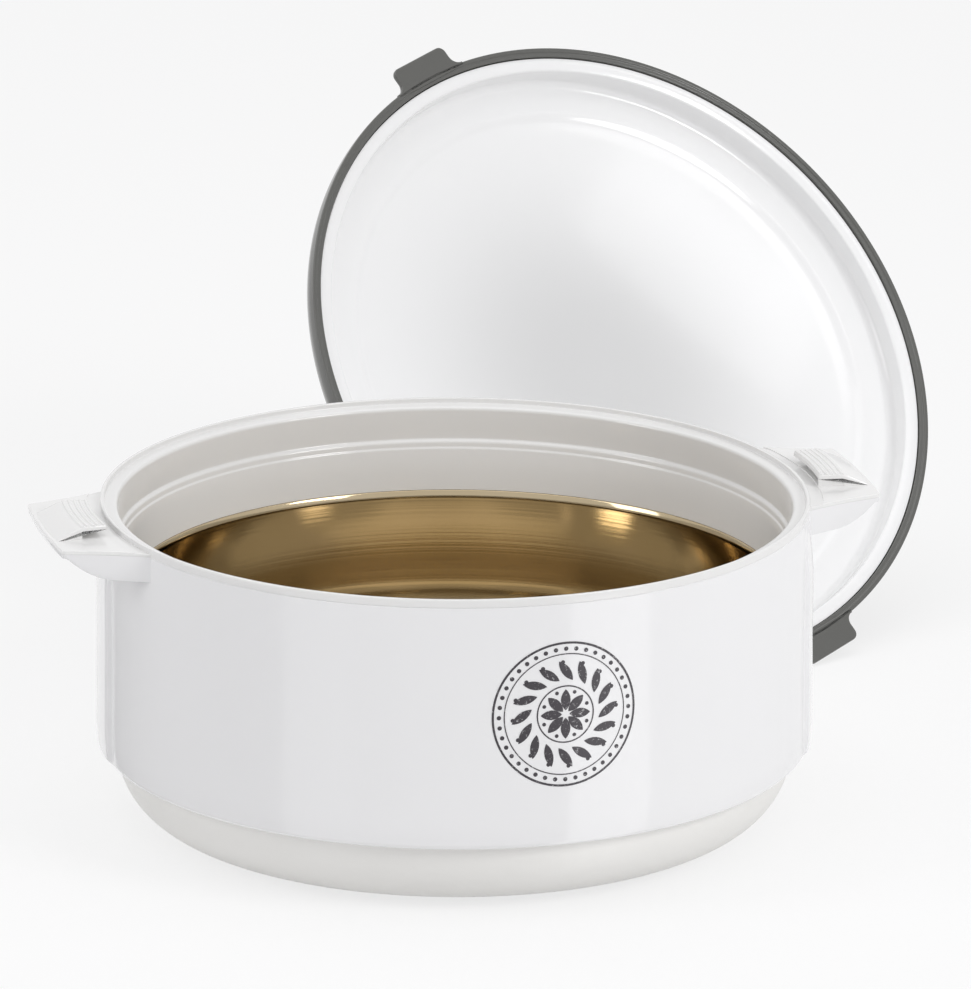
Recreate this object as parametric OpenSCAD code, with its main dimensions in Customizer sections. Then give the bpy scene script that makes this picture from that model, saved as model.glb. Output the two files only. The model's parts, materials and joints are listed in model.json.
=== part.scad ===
// Insulated serving casserole: a double-walled pot with two handles, and a loose lid
// that locks to it with a short turn. The lid stands on its edge behind the open pot.
// The origin is at the middle of the pot's foot, +Z is up, and the handles lie along X.

/* [Pot] */
// Outside diameter at the rim
rim_d = 260; // [250:1:270]
// Height of the rim above the table
pot_h = 122; // [112:1:140]
// Height of the seam between the wall and the base cup
seam_z = 28.6; // [24:0.2:32]
// Thickness of the moulded walls
wall_t = 2.2; // [1.8:0.1:2.6]
// Depth of the moulded collar, from the rim down to the steel bowl
collar_depth = 33.7; // [28:0.1:38]

/* [Handles] */
// Distance from the pot's axis to the corners of a handle's tip
tip_r = 157; // [154:0.5:162]
// Half of the angle that a handle takes up on the wall
root_half = 19.7; // [18:0.1:22]
// Half of the angle that a handle's tip takes up
tip_half = 11.2; // [10:0.1:12]
// Height of the ribbed pad above the handle's plate
pad_rise = 4.7; // [4.2:0.1:5.5]
// Number of ribs on each pad
rib_count = 5; // [3:1:6]

/* [Lid] */
// Outside diameter of the lid
lid_d = 269; // [268.4:0.1:269.4]
// Rise of the lid's dome above its edge band
dome_rise = 40; // [37:0.5:42]
// Height of the grip's highest point above the lid's edge
grip_top = 54; // [50:0.5:58]
// Width of a locking tab
tab_w = 27.5; // [22:0.5:28]
// How far a locking tab sticks out of the lid's edge
tab_out = 8.7; // [6:0.1:9.2]

/* [Display] */
// Where the lid is: standing behind the pot, held above it, set down on it, or locked
lid_place = "standing"; // [standing, held, seated, locked]

/* [Hidden] */
$fn = 180;
white = [0.95, 0.95, 0.94];
charcoal = [0.27, 0.27, 0.26];

rim_r = rim_d / 2;
lid_r = lid_d / 2;
// The pot's collar: a thin lip round a flange, with a ledge half way down
lip_t = 1.5;
lip_h = 2;
collar_r = 123.4;
ledge_r = 121.8;
plug_h = 2.4;
part_z = pot_h - 3;
bowl_z = pot_h - collar_depth;
ledge_z = pot_h - 16.6;
bowl_r = 119.5;
bowl_t = 0.8;
bowl_floor = 14;
bowl_corner = 42;
bowl_taper = 1.5;
bowl_flange = 3;
// The base cup stands on a low ring
cup_r = rim_r - 5.4;
cup_flat_r = 101;
cup_bottom = 2.5;
foot_in = 84;
foot_out = 90;
spigot_r = cup_r - 1.9;
spigot_h = 5;
// A shallow raised panel of the wall below each handle, in degrees round from the handle
panel_from = -24.5;
panel_to = 1.5;
panel_r = 131.6;
// Each handle is a plate on the collar over an apron on the shell, scooped out below
plate_z = pot_h - 1.5;
scoop_r = 64.2;
scoop_x = 162.6;
scoop_z = pot_h - 68.4;
ledge_drop = 0.3;
pad_in = 135;
pad_flat = 145;
pad_out = 154;
pad_half = 7;
rib_h = 0.7;
slot_stop = 6.1;
slot_r = 144.3;
stop_r = 138.8;
slot_top = pot_h + 0.9;
slot_floor = plate_z - ledge_drop;
apron_h = 18;
// The lid is drawn with its edge at height 0 and its tabs along X
edge_t = 3.6;
edge_h = 3;
tab_t = 2;
liner_r = 125.4;
liner_t = 1.8;
step_w = 13;
dome_r = 108;
dome_top = 20;
flange_r = 87;
well_r = 78;
well_floor = 25.5;
band_w = 20;
band_t = 2;
band_reach = 86;
side_r = 112;
belly = 38;
lean = 46;
// The grip's band follows one arch, from its middle down to its ends
arch_end = 36.8;
arch_rise = grip_top - arch_end;
arch_r = (pow(band_reach, 2) + pow(arch_rise, 2)) / (2 * arch_rise);
// Clearance between pieces that are pushed together
gap = 0.3;
// The hand's path from the table to just above the seat is one turn about this axis
carry_point = [52.3, 108.2, pot_h - 35.1];
carry_axis = [0.7965, -0.4967, -0.3449];
carry_angle = 148.8;
held_h = 8;
held_turn = 170.4;
seat_drop = 1.4;
entry_turn = 13.5;

// Points on a circle's arc, and on an ellipse between two of its radii
function arc(x, z, r, from, to, n) =
    [for (i = [0:n]) let (a = from + (to - from) * i / n) [x + r * cos(a), z + r * sin(a)]];
function dome(a, b, z, r0, r1, n) =
    let (t0 = acos(r0 / a), t1 = acos(r1 / a))
    [for (i = [0:n]) let (t = t0 + (t1 - t0) * i / n) [a * cos(t), z + b * sin(t)]];

// Both handles, or both tabs, lie opposite each other
module pair() {
    for (turn = [0, 180]) rotate([0, 0, turn]) children();
}

// A handle in plan: its sides draw in from the wall and flare a little to the tip
function handle_side(inset) =
    let (tip = [tip_r * cos(tip_half) - inset, tip_r * sin(tip_half) - inset],
        root = [(rim_r - 4) * cos(root_half), rim_r * sin(root_half) - inset],
        bow = 1.6)
    [for (i = [0:8]) let (u = i / 8)
        [tip[0] + (root[0] - tip[0]) * u, tip[1] + (root[1] - tip[1]) * u - bow * sin(180 * u)]];
module handle_plan(inset) {
    side = handle_side(inset);
    polygon(concat(side, [for (i = [len(side) - 1:-1:0]) [side[i][0], -side[i][1]]]));
}

module outer_shell() {
    turn_r = 2.6;
    hem_r = spigot_r + gap;
    outer = concat([[hem_r, seam_z]], arc(rim_r - 2.1, seam_z + turn_r, turn_r, -90, -8, 4),
        [[rim_r, pot_h * 0.6], [rim_r, part_z]]);
    inner = [[rim_r - wall_t, part_z], [rim_r - wall_t, seam_z + 6],
        [rim_r - wall_t - turn_r, seam_z + wall_t], [hem_r, seam_z + wall_t]];
    color(white) {
        rotate_extrude() polygon(concat(outer, inner));
        pair() wall_panel();
        pair() handle_apron();
    }
}

module wall_panel() {
    corner = 3;
    fade = 22;
    sunk_r = rim_r - 1;
    profile = concat([[sunk_r, seam_z + 1.4]],
        arc(panel_r - corner, seam_z + 4.6, corner, -48, 0, 4),
        [[panel_r, pot_h - fade], [rim_r, part_z - 1], [sunk_r, part_z - 1]]);
    rotate([0, 0, panel_from]) rotate_extrude(angle = panel_to - panel_from) polygon(profile);
}

module handle_apron() {
    low = part_z - apron_h + 3;
    difference() {
        translate([0, 0, low]) linear_extrude(part_z - low) handle_plan(0);
        translate([0, 0, low - 1]) linear_extrude(apron_h) handle_plan(wall_t);
        translate([0, 0, low - 1]) cylinder(h = apron_h, r = rim_r - wall_t / 2);
        translate([scoop_x, 0, scoop_z]) rotate([90, 0, 0])
            cylinder(h = rim_r, r = scoop_r, center = true);
    }
}

module rim_collar() {
    soft = 0.4;
    bend = 1.2;
    lip_in = rim_r - lip_t;
    plug_r = rim_r - wall_t - gap;
    lip = [[rim_r, part_z], [rim_r, pot_h - soft], [rim_r - soft, pot_h],
        [lip_in + soft, pot_h], [lip_in, pot_h - soft], [lip_in, pot_h - lip_h]];
    inside = concat(arc(collar_r + bend, pot_h - lip_h - bend - soft, bend, 90, 180, 3),
        [[collar_r - 0.1, ledge_z + 1.5], [ledge_r + 0.3, ledge_z + 0.5],
            [ledge_r, ledge_z - 1.5], [bowl_r, bowl_z]]);
    outside = [[bowl_r + wall_t, bowl_z], [ledge_r + wall_t, ledge_z - 2],
        [collar_r + wall_t, ledge_z + 1.5], [collar_r + wall_t, part_z - plug_h],
        [plug_r, part_z - plug_h], [plug_r, part_z]];
    color(white) {
        rotate_extrude() polygon(concat(lip, inside, outside));
        pair() handle_top();
    }
}

module handle_top() {
    difference() {
        union() {
            translate([0, 0, part_z]) linear_extrude(plate_z - part_z) handle_plan(0);
            rotate([0, 0, -pad_half]) rotate_extrude(angle = 2 * pad_half) pad_profile();
        }
        translate([0, 0, part_z - 1]) cylinder(h = 10, r = rim_r - 0.5);
        translate([0, 0, slot_floor]) cylinder(h = 10, r = pad_in);
        slot_cut(-slot_stop, slot_r);
        slot_cut(-slot_stop - 3, stop_r);
    }
}

// The slot runs from its stop out past the pad, and is notched for the fillet at a tab's root
module slot_cut(from, outer) {
    rotate([0, 0, from]) rotate_extrude(angle = root_half - from)
        translate([rim_r, slot_floor]) square([outer - rim_r, slot_top - slot_floor]);
}

module pad_profile() {
    top = plate_z + pad_rise;
    pitch = (pad_flat - pad_in) / rib_count;
    crest = pitch * 0.55;
    flank = pitch * 0.1;
    ribs = [for (i = [0:rib_count - 1]) let (r = pad_in + i * pitch, low = top - rib_h)
        each [[r, top], [r + crest, top], [r + crest + flank, low], [r + pitch, low]]];
    slope = [[pad_flat, top], [pad_out, plate_z - 0.2], [pad_out, plate_z - 1]];
    polygon(concat([[pad_in, plate_z - 1]], ribs, slope));
}

module steel_bowl() {
    corner_r = bowl_r - bowl_taper - bowl_corner;
    corner_z = bowl_floor + bowl_corner;
    neck = bowl_r - 1;
    edge = bowl_r + bowl_flange;
    inside = concat([[neck, bowl_z - 1.5]], arc(corner_r, corner_z, bowl_corner, 0, -90, 10),
        [[0, bowl_floor]]);
    outside = concat([[0, bowl_floor - bowl_t]],
        arc(corner_r, corner_z, bowl_corner + bowl_t, -90, 0, 10),
        [[neck + bowl_t, bowl_z - 3], [edge, bowl_z - bowl_t - 0.4], [edge, bowl_z],
            [bowl_r - 0.4, bowl_z]]);
    color([0.62, 0.58, 0.5]) rotate_extrude() polygon(concat(inside, outside));
}

module pot_insulation() {
    cup = cup_curve(cup_r - spigot_r + wall_t + gap, wall_t, 8);
    step_z = seam_z + spigot_h + 2;
    outer_r = rim_r - wall_t - gap;
    below = bowl_t + gap;
    outer = concat(cup, [[spigot_r - wall_t - gap, step_z], [outer_r, step_z], [outer_r, ledge_z]]);
    inner = concat([[collar_r + 2.6, ledge_z], [bowl_r + wall_t + gap + 2, bowl_z - 1],
            [bowl_r + 0.6, bowl_z - 4]],
        arc(bowl_r - bowl_taper - bowl_corner, bowl_floor + bowl_corner, bowl_corner + below, 0, -90, 10),
        [[0, bowl_floor - below], [0, cup_bottom + wall_t]]);
    color([0.93, 0.86, 0.62]) rotate_extrude() polygon(concat(outer, inner));
}

// The base cup's side, from its flat bottom up to the seam, drawn in at its side and its floor
function cup_curve(side, rise, n) =
    let (flat_r = cup_flat_r - rise / 2, a = cup_r - side - flat_r, b = seam_z - 1 - cup_bottom - rise)
    [for (i = [0:n]) let (t = -90 + 90 * i / n) [flat_r + a * cos(t), seam_z - 1 + b * sin(t)]];

module base_cup() {
    soft = 0.6;
    ring = [[foot_in, cup_bottom], [foot_in + soft, 0], [foot_out - soft, 0], [foot_out, cup_bottom]];
    outside = concat([[0, cup_bottom]], ring, cup_curve(0, 0, 12), [[cup_r, seam_z]]);
    inner = cup_curve(cup_r - spigot_r + wall_t, wall_t, 8);
    spigot = [[spigot_r, seam_z], [spigot_r, seam_z + spigot_h], [spigot_r - wall_t, seam_z + spigot_h]];
    inside = concat(spigot, [for (i = [8:-1:0]) inner[i]], [[0, cup_bottom + wall_t]]);
    color([0.93, 0.92, 0.9]) rotate_extrude() polygon(concat(outside, inside));
}

// Moves the lid from its own drawing place to where it is shown
module placed() {
    if (lid_place == "standing")
        translate(carry_point) rotate(a = -carry_angle, v = carry_axis)
            translate(-carry_point) held() children();
    else if (lid_place == "held") held() children();
    else if (lid_place == "seated") closed(entry_turn) children();
    else closed(0) children();
}
module held() {
    translate([0, 0, pot_h + held_h]) rotate([0, 0, held_turn]) children();
}
module closed(turn) {
    translate([0, 0, pot_h - seat_drop]) rotate([0, 0, turn]) children();
}

module lid_cover() {
    skin = 2.2;
    outside = concat([[lid_r - 0.3, 0], [lid_r, 0.3]],
        dome(lid_r, dome_rise, edge_h, lid_r, flange_r + gap, 16));
    seat_w = dome_height(flange_r) - 2;
    shelf = [[flange_r + gap, seat_w], [flange_r - 5, seat_w], [flange_r - 5, seat_w - skin]];
    inside = concat(dome(lid_r - skin, dome_rise - skin, edge_h, flange_r + 8.5, lid_r - skin - 0.2, 12),
        [[lid_r - edge_t, edge_h + 1], [lid_r - edge_t, 0.4], [lid_r - edge_t + 0.4, 0]]);
    color(charcoal) placed() {
        rotate_extrude() polygon(concat(outside, shelf, inside));
        pair() lid_tab();
    }
}
function dome_height(r) = edge_h + dome_rise * sqrt(1 - pow(r / lid_r, 2));

module lid_tab() {
    corner = 3;
    root = 4;
    out = lid_r + tab_out;
    half = tab_w / 2;
    difference() {
        linear_extrude(tab_t) {
            translate([lid_r - 2, -half]) square([out - corner - lid_r + 2, tab_w]);
            translate([out - corner, corner - half]) square([corner, tab_w - 2 * corner]);
            for (y = [corner - half, half - corner]) translate([out - corner, y]) circle(corner);
            translate([lid_r - 2, -half - root]) square([4, tab_w + 2 * root]);
        }
        for (y = [-half - root, half + root])
            translate([lid_r + root - 0.8, y, -1]) cylinder(h = tab_t + 2, r = root);
        translate([0, 0, -1]) cylinder(h = tab_t + 2, r = lid_r - 1);
    }
}

module lid_grip() {
    rim_w = dome_height(flange_r) + 0.2;
    skin = 2;
    rings = [for (r = [flange_r - 1.2, flange_r - 3.6, flange_r - 6])
        each [[r, rim_w], [r - 0.5, rim_w + 0.6], [r - 1, rim_w + 0.6], [r - 1.5, rim_w]]];
    wall = rim_w - well_floor - 0.2;
    bend = arc(well_r - wall, well_floor + wall, wall, 0, -90, 6);
    well = concat([[well_r + 1, rim_w]], bend, [[0, well_floor]]);
    under = concat([[0, well_floor - skin]], arc(well_r - wall, well_floor + wall, wall + skin, -90, -10, 6),
        [[well_r + skin + 1, rim_w - skin - 0.2], [flange_r, rim_w - skin - 0.2]]);
    color(charcoal) placed() {
        rotate_extrude() polygon(concat([[flange_r, rim_w]], rings, well, under));
        grip_bridge();
    }
}

// One side of the bridge: it swells out to the well, and leans in as it rises
module bridge_side(side) {
    translate([0, side * (belly - side_r / cos(lean)), well_floor - 0.5]) rotate([side * lean, 0, 0])
        cylinder(h = 200, r = side_r, center = true);
}

// The bridge: a lens-shaped body, and a rib under the band that ties it to the flange
module grip_bridge() {
    intersection() {
        bridge_side(1);
        bridge_side(-1);
        under_arch(band_t);
        translate([0, 0, well_floor - 0.5]) cylinder(h = 60, r = well_r);
    }
    intersection() {
        translate([-band_reach, 1 - band_w / 2, well_floor - 0.5]) cube([2 * band_reach, band_w - 2, 60]);
        translate([0, 0, well_floor - 1]) cylinder(h = 60, r = flange_r - 6);
        under_arch(band_t);
    }
}

// Everything in the lid below the arch, less a thickness
module under_arch(less) {
    translate([0, 0, grip_top - arch_r]) rotate([90, 0, 0])
        cylinder(h = 200, r = arch_r - less, center = true);
}

module grip_band() {
    flare = 3;
    quarter = [[0, band_w / 2], [band_reach - 14, band_w / 2], [band_reach, band_w / 2 + flare]];
    notch = [band_reach - 3, 0];
    right = concat(quarter, [notch], [for (i = [2:-1:0]) [quarter[i][0], -quarter[i][1]]]);
    left = [for (i = [len(right) - 2:-1:1]) [-right[i][0], right[i][1]]];
    color([0.33, 0.33, 0.32]) placed() intersection() {
        difference() {
            under_arch(0);
            under_arch(band_t);
        }
        translate([0, 0, 20]) linear_extrude(50) polygon(concat(right, left));
    }
}

module lid_liner() {
    cap_r = (pow(dome_r, 2) + pow(dome_top - step_w, 2)) / (2 * (dome_top - step_w));
    edge = lid_r - edge_t - gap;
    seat = [[edge, 1.5], [edge, 3.6], [liner_r + liner_t, 3.6]];
    roof = concat([[liner_r + liner_t, step_w - 1.5], [liner_r - 0.9, step_w + liner_t],
            [dome_r - 2, step_w + liner_t]],
        [for (i = [0:8]) let (r = (dome_r - 6) * (1 - i / 8)) [r, cap_height(r, cap_r) + liner_t]]);
    ceiling = concat([for (i = [8:-1:0]) let (r = (dome_r - 2) * (1 - i / 8)) [r, cap_height(r, cap_r)]],
        [[dome_r + 3, step_w - 1.2], [liner_r - 2, step_w], [liner_r, step_w - 2], [liner_r, 2.4],
            [edge - 2.4, 1.7]]);
    color([0.95, 0.95, 0.95]) placed() rotate_extrude() polygon(concat(seat, roof, ceiling));
}
function cap_height(r, cap_r) = dome_top - cap_r + sqrt(pow(cap_r, 2) - pow(r, 2));

module lid_insulation() {
    outer_r = lid_r - 14;
    inner_r = flange_r - 3.5;
    foot = [[dome_r, step_w + liner_t], [outer_r, step_w + liner_t]];
    top = dome(lid_r - 3.2, dome_rise - 3.4, edge_h, outer_r, flange_r + 9, 6);
    shelf_w = dome_height(flange_r) - 2 - 2.2 - gap;
    color([0.93, 0.86, 0.62]) placed() rotate_extrude()
        polygon(concat(foot, top, [[inner_r, shelf_w], [inner_r, well_floor - 6.9]]));
}

outer_shell();
rim_collar();
steel_bowl();
pot_insulation();
base_cup();
lid_cover();
lid_grip();
grip_band();
lid_liner();
lid_insulation();
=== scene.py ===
# Insulated serving casserole: the finish of the pot, and of the lid that stands open behind it
import bpy
import bmesh
import json
import math
from mathutils import Matrix, Vector


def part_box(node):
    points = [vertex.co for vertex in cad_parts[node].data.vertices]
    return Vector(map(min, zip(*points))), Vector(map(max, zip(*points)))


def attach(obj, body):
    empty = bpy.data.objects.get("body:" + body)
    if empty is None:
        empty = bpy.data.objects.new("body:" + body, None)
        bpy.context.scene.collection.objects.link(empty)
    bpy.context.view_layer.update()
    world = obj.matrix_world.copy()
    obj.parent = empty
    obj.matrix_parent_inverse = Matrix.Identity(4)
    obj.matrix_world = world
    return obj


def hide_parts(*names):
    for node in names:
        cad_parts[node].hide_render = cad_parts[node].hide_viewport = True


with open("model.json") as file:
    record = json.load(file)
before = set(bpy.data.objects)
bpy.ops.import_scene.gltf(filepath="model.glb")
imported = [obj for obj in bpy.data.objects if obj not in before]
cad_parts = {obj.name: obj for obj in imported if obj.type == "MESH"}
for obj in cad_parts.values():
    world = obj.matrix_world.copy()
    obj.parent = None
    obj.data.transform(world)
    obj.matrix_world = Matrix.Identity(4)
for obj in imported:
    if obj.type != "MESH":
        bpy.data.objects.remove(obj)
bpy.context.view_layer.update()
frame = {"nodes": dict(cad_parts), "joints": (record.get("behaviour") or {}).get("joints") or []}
mm = 0.001
print("frame loaded:", sorted(frame["nodes"]))

# The rim's height comes from the frame, its radius is given, and the pieces are drawn in millimetres from
# them
parting = round(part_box("outer_shell")[1].z / mm, 3)
rim = {
    "height": parting + 3,
    "radius": 130.0,
    "parting": parting,  # where the collar meets the shell
    "lip": 1.5,
    "plate": parting + 1.5,  # top of a handle's plate
}


# Points on a circle's arc, as (x, y, corner size)
def arc(x, y, radius, start, end, steps):
    turns = [math.radians(start + (end - start) * i / steps) for i in range(steps + 1)]
    return [(x + radius * math.cos(t), y + radius * math.sin(t), 0) for t in turns]


# Points on an ellipse centred on the axis, between two radii
def domeCurve(across, rise, base, fromRadius, toRadius, steps):
    t0, t1 = math.acos(fromRadius / across), math.acos(toRadius / across)
    turns = [t0 + (t1 - t0) * i / steps for i in range(steps + 1)]
    return [(across * math.cos(t), base + rise * math.sin(t), 0) for t in turns]


# Rounds the corners of an outline of (x, y, corner size)
def rounded(points, closed=True, steps=4):
    out = []
    for i, (x, y, size) in enumerate(points):
        here = Vector((x, y))
        if size == 0 or (not closed and i in (0, len(points) - 1)):
            out.append(here)
            continue
        before = Vector(points[i - 1][:2]) - here
        after = Vector(points[(i + 1) % len(points)][:2]) - here
        reach = min(size, before.length * 0.45, after.length * 0.45)
        start = here + before.normalized() * reach
        end = here + after.normalized() * reach
        for k in range(steps + 1):
            t = k / steps
            out.append(start * (1 - t) ** 2 + here * (2 * t * (1 - t)) + end * t ** 2)
    return out


# Moves a closed outline inwards, for the rounded ends of a swept form
def drawnIn(outline, depth):
    area = sum(a.x * b.y - b.x * a.y for a, b in zip(outline, outline[1:] + outline[:1]))
    side = 1 if area > 0 else -1
    out = []
    for i, here in enumerate(outline):
        ahead = (outline[(i + 1) % len(outline)] - outline[i - 1]).normalized()
        out.append(here + Vector((-ahead.y, ahead.x)) * depth * side)
    return out


# Joins rows of equally many points into one surface
def skin(bm, rows, closeRows=False, closeLoops=True, caps=True):
    made = [[bm.verts.new(point) for point in row] for row in rows]
    count = len(made[0])
    pairs = list(zip(made, made[1:])) + ([(made[-1], made[0])] if closeRows else [])
    for low, high in pairs:
        for i in range(count if closeLoops else count - 1):
            j = (i + 1) % count
            bm.faces.new((low[i], low[j], high[j], high[i]))
    if caps and closeLoops and not closeRows:
        bm.faces.new(made[0][::-1])
        bm.faces.new(made[-1])
    if caps and closeRows and not closeLoops:
        bm.faces.new([row[0] for row in made])
        bm.faces.new([row[-1] for row in made][::-1])


def evenTurn(steps=240):
    return [360 * i / steps for i in range(steps)]


# Turns an outline of (radius, height) about the axis, and lets push() swell it outwards
def lathe(bm, outline, angles=None, closed=True, push=None):
    rows = []
    for degrees in angles or evenTurn():
        t = math.radians(degrees)
        row = []
        for radius, height in outline:
            r = radius + (push(degrees, radius, height) if push else 0)
            row.append((r * math.cos(t), r * math.sin(t), height))
        rows.append(row)
    skin(bm, rows, closeRows=True, closeLoops=closed, caps=False)


# The points of an outline of (radius, height), turned about the axis
def spun(outline, degrees):
    t = math.radians(degrees)
    return [(p.x * math.cos(t), p.x * math.sin(t), p.y) for p in outline]


def turnedRow(points, degrees):
    c, s = math.cos(math.radians(degrees)), math.sin(math.radians(degrees))
    return [(x * c - y * s, x * s + y * c, z) for x, y, z in points]


def meshFrom(bm, name):
    mesh = bpy.data.meshes.new(name)
    bm.to_mesh(mesh)
    bm.free()
    return mesh


def dress(mesh, finish):
    mesh.materials.clear()
    mesh.materials.append(finish)


def linkedObject(name, data):
    made = bpy.data.objects.new(name, data)
    bpy.context.scene.collection.objects.link(made)
    return made


smoothCorners = 8  # a face with more corners than this is an end, and stays flat


# Turns a mesh drawn in millimetres into a finished piece that rides on its body
def makePiece(name, bm, body, finish, nodes=(), place=None, sharp=34):
    bmesh.ops.remove_doubles(bm, verts=bm.verts, dist=0.002)
    bmesh.ops.recalc_face_normals(bm, faces=bm.faces)
    # Each point's distance from the piece's axis, which the plastics' painted shade reads
    reach = bm.verts.layers.float.new("fromAxis")
    for vert in bm.verts:
        vert[reach] = math.hypot(vert.co.x, vert.co.y)
    bm.transform((place or Matrix()) @ Matrix.Scale(mm, 4))
    mesh = meshFrom(bm, name)
    mesh.shade_smooth()
    mesh.set_sharp_from_angle(angle=math.radians(sharp))
    for face in mesh.polygons:
        face.use_smooth = face.loop_total <= smoothCorners
    dress(mesh, finish)
    piece = linkedObject(name, mesh)
    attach(piece, body)
    if nodes:
        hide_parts(*nodes)
    print("made", name, len(mesh.polygons), "faces")
    return piece


# Camera: the photograph's own view, from a little above through a long lens
view = {
    "turn": -14.5,  # degrees from the photograph's axis to the handles' axis
    "distance": 3.2969,
    "down": 16.616,
    "focalPixels": 9000,
    "imageWidth": 971,
    "sensor": 36,
    "yaw": -0.0033736,
    "pitch": 0.000035,
    "roll": -0.0044342,
}


def addCamera():
    down = math.radians(view["down"])
    eye = Vector((0, -math.cos(down), math.sin(down))) * view["distance"]
    ahead = Vector((0, math.cos(down), -math.sin(down)))
    right = Vector((1, 0, 0))
    up = right.cross(ahead)
    yaw = Matrix.Rotation(view["yaw"], 3, up)
    ahead, right = yaw @ ahead, yaw @ right
    pitch = Matrix.Rotation(view["pitch"], 3, right)
    ahead, up = pitch @ ahead, pitch @ up
    roll = Matrix.Rotation(view["roll"], 3, ahead)
    right, up = roll @ right, roll @ up
    data = bpy.data.cameras.new("photoCamera")
    data.sensor_fit = "HORIZONTAL"
    data.sensor_width = view["sensor"]
    data.lens = view["sensor"] * view["focalPixels"] / view["imageWidth"]
    data.clip_end = 30
    camera = linkedObject("photoCamera", data)
    facing = Matrix((right, up, -ahead)).transposed().to_4x4()
    aligned = Matrix.Translation(eye) @ facing
    raised = Matrix.Translation((0, 0, rim["height"] * mm))
    turned = Matrix.Rotation(math.radians(view["turn"]), 4, "Z")
    camera.matrix_world = raised @ turned @ aligned
    bpy.context.scene.camera = camera


addCamera()
print("camera placed")

# Where the lid stands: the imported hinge's far end is the lid level above the rim
lidStand = {"heldAbove": 8, "heldTurn": 170.4}


def lidPlace():
    carry = next(j for j in frame["joints"] if j["name"] == "lid_carry")
    pivot = Vector(carry["pos_m"])
    back = Matrix.Rotation(math.radians(-carry["range_deg"][1]), 4, Vector(carry["axis"]))
    held = Matrix.Translation((0, 0, (rim["height"] + lidStand["heldAbove"]) * mm))
    turned = Matrix.Rotation(math.radians(lidStand["heldTurn"]), 4, "Z")
    return Matrix.Translation(pivot) @ back @ Matrix.Translation(-pivot) @ held @ turned


atLid = lidPlace()


# Shader helpers
def addNode(tree, kind, **settings):
    node = tree.nodes.new(kind)
    for key, value in settings.items():
        setattr(node, key, value)
    return node


# Sets a node's inputs by name: a socket is linked, anything else becomes the input's own value
def setInputs(node, **values):
    for key, value in values.items():
        socket = node.inputs[key.replace("_", " ")]
        if isinstance(value, bpy.types.NodeSocket):
            node.id_data.links.new(value, socket)
        else:
            socket.default_value = value
    return node


def addMaths(tree, operation, *terms):
    node = addNode(tree, "ShaderNodeMath", operation=operation)
    for socket, term in zip(node.inputs, terms):
        if isinstance(term, (int, float)):
            socket.default_value = term
        else:
            tree.links.new(term, socket)
    return node.outputs[0]


def addNoise(tree, place, **values):
    return setInputs(addNode(tree, "ShaderNodeTexNoise"), Vector=place, **values).outputs["Fac"]


def addBump(tree, height, strength, distance):
    bump = addNode(tree, "ShaderNodeBump")
    return setInputs(bump, Height=height, Strength=strength, Distance=distance).outputs["Normal"]


def newMaterial(name):
    material = bpy.data.materials.new(name)
    material.use_nodes = True
    return material, material.node_tree, material.node_tree.nodes["Principled BSDF"]


# A mix of two colours by a factor, as an output socket
def addBlend(tree, first, second, factor):
    mix = addNode(tree, "ShaderNodeMix", data_type="RGBA")
    for socket in mix.inputs:
        if socket.identifier == "A_Color":
            socket.default_value = (*first, 1)
        if socket.identifier == "B_Color":
            socket.default_value = (*second, 1)
    tree.links.new(factor, mix.inputs["Factor"])
    return next(socket for socket in mix.outputs if socket.identifier == "Result_Color")


def newGroup(name, inputs, outputs):
    group = bpy.data.node_groups.new(name, "ShaderNodeTree")
    for label, kind, value in inputs:
        socket = group.interface.new_socket(label, in_out="INPUT", socket_type=kind)
        socket.default_value = value
    for label, kind in outputs:
        group.interface.new_socket(label, in_out="OUTPUT", socket_type=kind)
    return group, group.nodes.new("NodeGroupInput").outputs, group.nodes.new("NodeGroupOutput")


# Moulded plastic: slow drifts of tone, patches of higher and lower polish, and a faint ripple
def mouldedGroup():
    group, given, result = newGroup(
        "mouldedPlastic",
        [("Tone", "NodeSocketColor", (0.8, 0.8, 0.8, 1)), ("Drift", "NodeSocketFloat", 0.03),
         ("Polish", "NodeSocketFloat", 0.25), ("Polish Spread", "NodeSocketFloat", 0.08),
         ("Patch Scale", "NodeSocketFloat", 18.0), ("Ripple Scale", "NodeSocketFloat", 260.0)],
        [("Color", "NodeSocketColor"), ("Roughness", "NodeSocketFloat"), ("Height", "NodeSocketFloat")])
    place = addNode(group, "ShaderNodeTexCoord").outputs["Object"]
    patches = addNoise(group, place, Scale=given["Patch Scale"], Detail=4, Roughness=0.55)
    shift = addMaths(group, "MULTIPLY_ADD", patches, given["Drift"], 1)
    centred = addMaths(group, "MULTIPLY_ADD", given["Drift"], -0.5, shift)
    toned = addNode(group, "ShaderNodeVectorMath", operation="SCALE")
    setInputs(toned, Vector=given["Tone"], Scale=centred)
    handled = addNoise(group, place, Scale=55, Detail=6, Roughness=0.7)
    polish = addMaths(group, "MULTIPLY_ADD", handled, given["Polish Spread"], given["Polish"])
    ripple = addNoise(group, place, Scale=given["Ripple Scale"], Detail=3, Roughness=0.5)
    setInputs(result, Color=toned.outputs[0], Roughness=polish, Height=ripple)
    return group


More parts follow.
